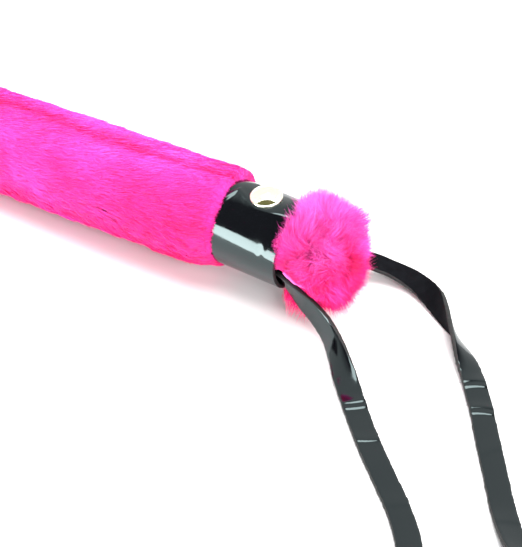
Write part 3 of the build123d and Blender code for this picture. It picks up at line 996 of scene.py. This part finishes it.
def strap_fibres(ring, far, across):
    """Loose fibres along both raw edges."""
    rng = np.random.default_rng(91)
    count = 2600
    row = rng.integers(20, len(ring) - 20, count)
    right = rng.uniform(0, 1, count) < 0.55
    crowd = noise(np.stack((far[row], right * 50.0, np.zeros(count)), 1), (7, 7, 7), 92)
    row, right = row[crowd > -0.25], right[crowd > -0.25]
    count = len(row)
    corner = np.where(right, rng.integers(15, 19, count), rng.integers(34, 38, count))
    root = ring[row, corner]                     # one of the outline's edge points
    outward = np.where(right[:, None], across[row], -across[row])
    way = unit(outward + 0.5 * rng.normal(0, 1, (count, 3)))
    length = rng.uniform(0.15, 0.75, count) ** 1.3
    t = np.array((0.0, 0.3, 0.65, 1.0))
    bend = rng.normal(0, 0.3, (count, 1, 3))
    lines = root[:, None] + way[:, None] * (length[:, None] * t)[..., None]
    lines = lines + bend * (length[:, None] * t**2)[..., None]
    lines[..., 2] = np.maximum(lines[..., 2], 0.04)
    side = unit(np.cross(way, rng.normal(0, 1, (count, 3))))
    widths = rng.uniform(0.025, 0.05, count)[:, None] * np.array((1, 0.9, 0.6, 0))
    shades = rng.integers(0, 2, count)
    dark = moulded("fibre_dark", (0.012, 0.013, 0.015), 0.7)
    pale = moulded("fibre_pale", (0.05, 0.055, 0.055), 0.7)
    piece = strand_piece("strap_fibres", lines, side, widths, shades, [dark, pale])
    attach(piece, "handle")
    return piece


# ---- shaft
def braid_strand(start, end, family, index, carriers):
    """The line of one carrier's yarn, weaving over and under the others."""
    x = np.arange(start, end + 0.01, -0.42)
    x = np.append(x, end) if x[-1] - end > 0.05 else x
    advance = 2.75                                 # mm along for each carrier passed
    p = (x - BRAID[0]) / advance
    clock = 2 * math.pi * (index / carriers + family * p / carriers)
    # where this yarn meets those of the other family it goes over and under in turn
    lift = np.cos(math.pi * (p + index + 0.25 * (1 - family))) * family
    return x, clock, rod_radius(x) + 0.33 + 0.14 * lift


def braid_mesh(start, end):
    """Points and faces of all the braid's yarns, each a flat rounded strip."""
    carriers = 8
    lobes = full_turn(12)
    ridge = 1 + 0.10 * np.cos(6 * lobes)[None]
    tubes = []
    for family in (1, -1):
        for index in range(carriers):
            x, clock, radius = braid_strand(start, end, family, index, carriers)
            line = on_round(x, clock, radius)
            half_width = (2 * math.pi * rod_radius(x) / carriers * 0.40)[:, None]
            a = np.cos(lobes) * half_width * ridge
            b = np.sin(lobes)[None] * 0.21 * ridge
            tubes.append(rings(line, *wound_frames(line), a, b))
    points, faces = joined(tubes)
    return to_world(points), faces


def rod_mesh(start, end):
    x, turn = np.meshgrid(np.linspace(start, end, 60), full_turn(24), indexing="ij")
    return to_world(on_round(x, turn, rod_radius(x) - 0.02)), tube_faces(*x.shape)


def shaft():
    """A rod under one braid, in four lengths, each round one of the shaft's joints."""
    rod_material = fibreglass()
    cord_material = thread_black()
    middles = [(a + b) / 2 for a, b in zip(FLEX_AT, FLEX_AT[1:])]
    for i, (start, end) in enumerate(zip([BRAID[0], *middles], [*middles, BRAID[1]])):
        span = (ROD_START if i == 0 else start, ROD_END if i == 3 else end)
        braid = mesh_piece(f"shaft_braiding_{i + 1}", *braid_mesh(start, end), [cord_material])
        rod = mesh_piece(f"shaft_core_{i + 1}", *rod_mesh(*span), [rod_material])
        for piece, slot in ((braid, "shaft_braid"), (rod, "shaft_rod")):
            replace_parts(piece, f"{slot}_{i + 1}")
            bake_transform(piece)
            if i == 3:
                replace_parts(piece, f"{slot}_5")


def whipping(name, node, body, start, end, inner, thick):
    """Thread wound round and round, side by side."""
    turns = int(abs(end - start) / (thick * 2.05))
    t = np.linspace(0, 1, turns * 40 + 1)
    x = start + (end - start) * t
    line = on_round(x, 2 * math.pi * turns * t, inner(x) + thick)
    a = full_turn(9)[None]
    twist = (t * turns * 2 * math.pi * 5)[:, None]
    lobe = thick * (1 + 0.09 * np.cos(2 * a + twist))
    ring = rings(line, *wound_frames(line), np.cos(a) * lobe, np.sin(a) * lobe)
    piece = mesh_piece(name, to_world(ring), tube_faces(*ring.shape[:2]), [THREAD])
    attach(piece, body)
    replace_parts(piece, node)


# ---- tongue
def leaf_half(x):
    """Half of the tongue's width at a world x."""
    width = ROOT_HALF + (LEAF_HALF - ROOT_HALF) * ease((LEAF_ROOT - 1.3 - x) / 19.5)
    corner = 9.0
    into = np.clip((LEAF_END + corner - x) / corner, 0, 1)
    return width - corner * (1 - np.sqrt(1 - into**2))


def tongue_layer(side):
    """One of the two leathers, from its half round on the rod's end to the flat leaf."""
    steps = np.concatenate((np.linspace(-246.8, -290, 110), np.linspace(-290.5, LEAF_END + 9, 60),
                            LEAF_END + 9 - 9 * np.sin(np.linspace(0.05, math.pi / 2, 30))))
    border = 1 - 0.5 * (1 - np.cos(np.linspace(0.5, 0, 5)))
    across = np.concatenate((-border[::-1], np.linspace(-0.93, 0.93, 41), border))
    x, v = np.meshgrid(steps, across, indexing="ij")
    own_x = (x - RIM[0]) / math.cos(LEAN)
    axis_z = RIM[2] + own_x * math.sin(LEAN)
    round_r = rod_radius(NECK_START) + 0.05 + 0.6
    angle = v * math.pi / 2 * 0.97
    flat_t = ease((-264.5 - x) / 12.0)
    neck_y = round_r * np.sin(angle)
    neck_z = axis_z + side * round_r * np.cos(angle)
    level = LEAF_T / 2 + (LEAF_T + LEAF_GAP if side > 0 else 0)
    y = neck_y * (1 - flat_t) + leaf_half(x) * v * flat_t
    z = neck_z * (1 - flat_t) + level * flat_t
    return x, y, z, flat_t, v


def tongue():
    for side, name, nodes in (
        (1, "tongue_top_leather", ("tongue_neck_upper", "tongue_upper_leaf")),
        (-1, "tongue_under_leather", ("tongue_neck_lower", "tongue_lower_leaf")),
    ):
        x, y, z, flat_t, v = tongue_layer(side)
        middle = np.stack((x, y, z), -1)
        normal = unit(np.cross(np.gradient(middle, axis=1), np.gradient(middle, axis=0)))
        normal = normal * np.sign(normal[..., 2:] * side + 1e-9) * side
        from_edge = (1 - np.abs(v)) * leaf_half(x)
        edge = np.clip(from_edge / 0.5, 0, 1)
        half = LEAF_T / 2 * np.sqrt(np.clip(1 - (1 - edge) ** 2, 0.04, 1))
        groove = 0.10 * bell(from_edge - 1.5, 0.28) * (flat_t > 0.98)
        outside = middle + normal * (half - groove)[..., None]
        inside = middle - normal * half[..., None]
        rows, columns = x.shape
        points = np.concatenate((outside, inside[:, ::-1]), axis=1)
        points[..., 2] = np.maximum(points[..., 2], 0.0)
        count = points.shape[1]
        faces = tube_faces(rows, count)
        column = faces[0][:, 0] % count
        which = np.where(column < columns - 1, 0, 2)
        which[(column < 4) | ((column >= columns - 5) & (column < columns + 4))] = 1
        which[column >= count - 5] = 1
        which = np.concatenate((which, (1, 1)))
        piece = mesh_piece(name, points, faces, [PATENT, CUT_EDGE, FLESH], which)
        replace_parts(piece, *nodes)
        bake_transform(piece)


def stitch_places():
    """(x, y, heading) of each stitch: along both sides, then across the end."""
    side_y = LEAF_HALF - STITCH_IN
    along = [
        (LEAF_ROOT - 20 - i * STITCH_PITCH, y, 0) for i in range(10) for y in (side_y, -side_y)]
    return along + [(LEAF_END + STITCH_IN, (i - 2.5) * STITCH_PITCH, 90) for i in range(6)]


def tongue_stitches():
    """Twisted thread that dips into the leather at both ends of each stitch."""
    tubes = []
    s = np.linspace(-1, 1, 25)
    a = full_turn(12)[None]
    top = 2 * LEAF_T + LEAF_GAP
    for x, y, heading in stitch_places():
        turn = math.radians(heading)
        for level, out in ((top, 1), (0.0, -1)):
            lift = out * (0.16 - 0.75 * np.abs(s) ** 5) if out > 0 else 0.28 + 0.5 * np.abs(s) ** 5
            line = np.stack((
                x + 1.62 * s * math.cos(turn), y + 1.62 * s * math.sin(turn), level + lift), 1)
            lobe = 0.30 * (1 + 0.16 * np.cos(2 * a + 9 * s[:, None]))
            tubes.append(sweep(line, np.cos(a) * lobe, np.sin(a) * lobe))
    points, faces = joined(tubes)
    points[:, 2] = np.maximum(points[:, 2], 0.0)
    piece = mesh_piece("tongue_sewing", points, faces, [THREAD])
    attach(piece, "tongue")
    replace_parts(piece, "tongue_stitches")


# ---- surroundings
def camera():
    back = np.array((
        math.sin(AZIMUTH) * math.cos(ELEVATION),
        -math.cos(AZIMUTH) * math.cos(ELEVATION),
        math.sin(ELEVATION),
    ))
    side = np.array((math.cos(AZIMUTH), math.sin(AZIMUTH), 0.0))
    up = np.cross(back, side)
    place = RIM + back * DISTANCE + side * SIDE_SHIFT + up * UP_SHIFT
    data = bpy.data.cameras.new("camera")
    data.lens = LENS
    data.sensor_width = SENSOR
    data.sensor_fit = "HORIZONTAL"
    data.clip_start = 0.01
    data.clip_end = 20
    eye = put_in_scene("camera", data)
    turn = Matrix((side, up, back)).transposed().to_4x4()
    eye.matrix_world = Matrix.Translation(Vector(place * MM)) @ turn
    bpy.context.scene.camera = eye


BACK_GLOW = 1.1
OVERHEAD_GLOW = 10.0


def floor():
    m = material("floor", Base_Color=(0.82, 0.82, 0.82, 1), Roughness=0.9)
    size = 5000.0
    corners = [(-size, -size, 0), (size, -size, 0), (size, size, 0), (-size, size, 0)]
    mesh_piece("floor", corners, np.array([(0, 1, 2, 3)]), [m])


def softbox(name, place, aim, width, height, radiance):
    """A square light that looks as bright as radiance."""
    light = bpy.data.lights.new(name, "AREA")
    light.shape = "RECTANGLE"
    light.size = width
    light.size_y = height
    light.energy = radiance * math.pi * width * height
    holder = put_in_scene(name, light)
    holder.location = place
    direction = Vector(aim) - Vector(place)
    holder.rotation_euler = direction.to_track_quat("-Z", "Y").to_euler()


def both(tree, operation, a, b):
    node = tree.nodes.new("ShaderNodeMath")
    node.operation = operation
    tree.links.new(a, node.inputs[0])
    tree.links.new(b, node.inputs[1])
    return node.outputs["Value"]


def studio():
    """A dim room: pale behind and to the left, pale along the horizon, bright overhead."""
    world = bpy.data.worlds.new("studio")
    world.use_nodes = True
    tree = world.node_tree
    place = add_node(tree, "ShaderNodeTexCoord").outputs["Generated"]
    split = add_node(tree, "ShaderNodeSeparateXYZ", Vector=place)
    lean = add_node(tree, "ShaderNodeVectorMath")
    lean.operation = "DOT_PRODUCT"
    lean.inputs[1].default_value = (-0.75, 0.66, 0.0)
    tree.links.new(place, lean.inputs[0])
    side = ranged(tree, lean.outputs["Value"], 0.18, 0.42, 0.12, BACK_GLOW)
    horizon = ranged(tree, split.outputs["Z"], 0.04, 0.28, 1.0, 0.0)
    dark_left = ranged(tree, split.outputs["X"], -0.915, -0.895, 0.02, 1.0)
    dark_front = ranged(tree, split.outputs["Y"], -0.25, -0.235, 0.02, 1.0)
    dark_gap = both(tree, "MAXIMUM", dark_left, dark_front)
    overhead = ranged(tree, split.outputs["Z"], 0.925, 0.94, 0.0, OVERHEAD_GLOW)
    glow = both(tree, "MAXIMUM", side, horizon)
    glow = both(tree, "ADD", both(tree, "MULTIPLY", glow, dark_gap), overhead)
    set_inputs(tree, tree.nodes["Background"], Strength=glow, Color=(1, 1, 1, 1))
    bpy.context.scene.world = world


def surroundings():
    camera()
    floor()
    studio()
    softbox("right_light", (1.25, 0.3, 0.85), (0.3, 0, 0), 0.9, 0.9, 8.0)
    softbox("near_light", (1.30, -0.62, 0.72), (0.3, 0, 0), 0.6, 0.6, 13.0)
    softbox("front_light", (-0.09, -0.9, 0.175), (0.3, 0, 0.02), 0.7, 0.28, 17.0)
    bpy.context.scene.view_settings.view_transform = "Standard"


surroundings()
cad_materials()
strap = wrist_strap()
collar("butt_band", BUTT_COLLAR, BUTT_RIVET, "butt_collar", butt_folds, 0.9)
collar("front_band", FRONT_COLLAR, FRONT_RIVET, "front_collar")
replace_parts(rivet_cap("butt_rivet", BUTT_RIVET + 0.5, math.radians(15), 1.0), "rivet_caps")
rivet_cap("front_rivet", FRONT_RIVET, 0.0, 0.0)
grip_ground()
grip_pile()
pompom_ground(strap)
pompom(strap)
shaft()
whipping("front_binding", "front_whipping", "handle", -190.25, -199.9,
         lambda x: rod_radius(x) + BRAID_T, 0.26)
whipping("tip_binding", "tip_whipping", "shaft_5", -558.2, -573.8,
         lambda x: rod_radius(NECK_START) + 1.28, 0.21)
tongue()
tongue_stitches()
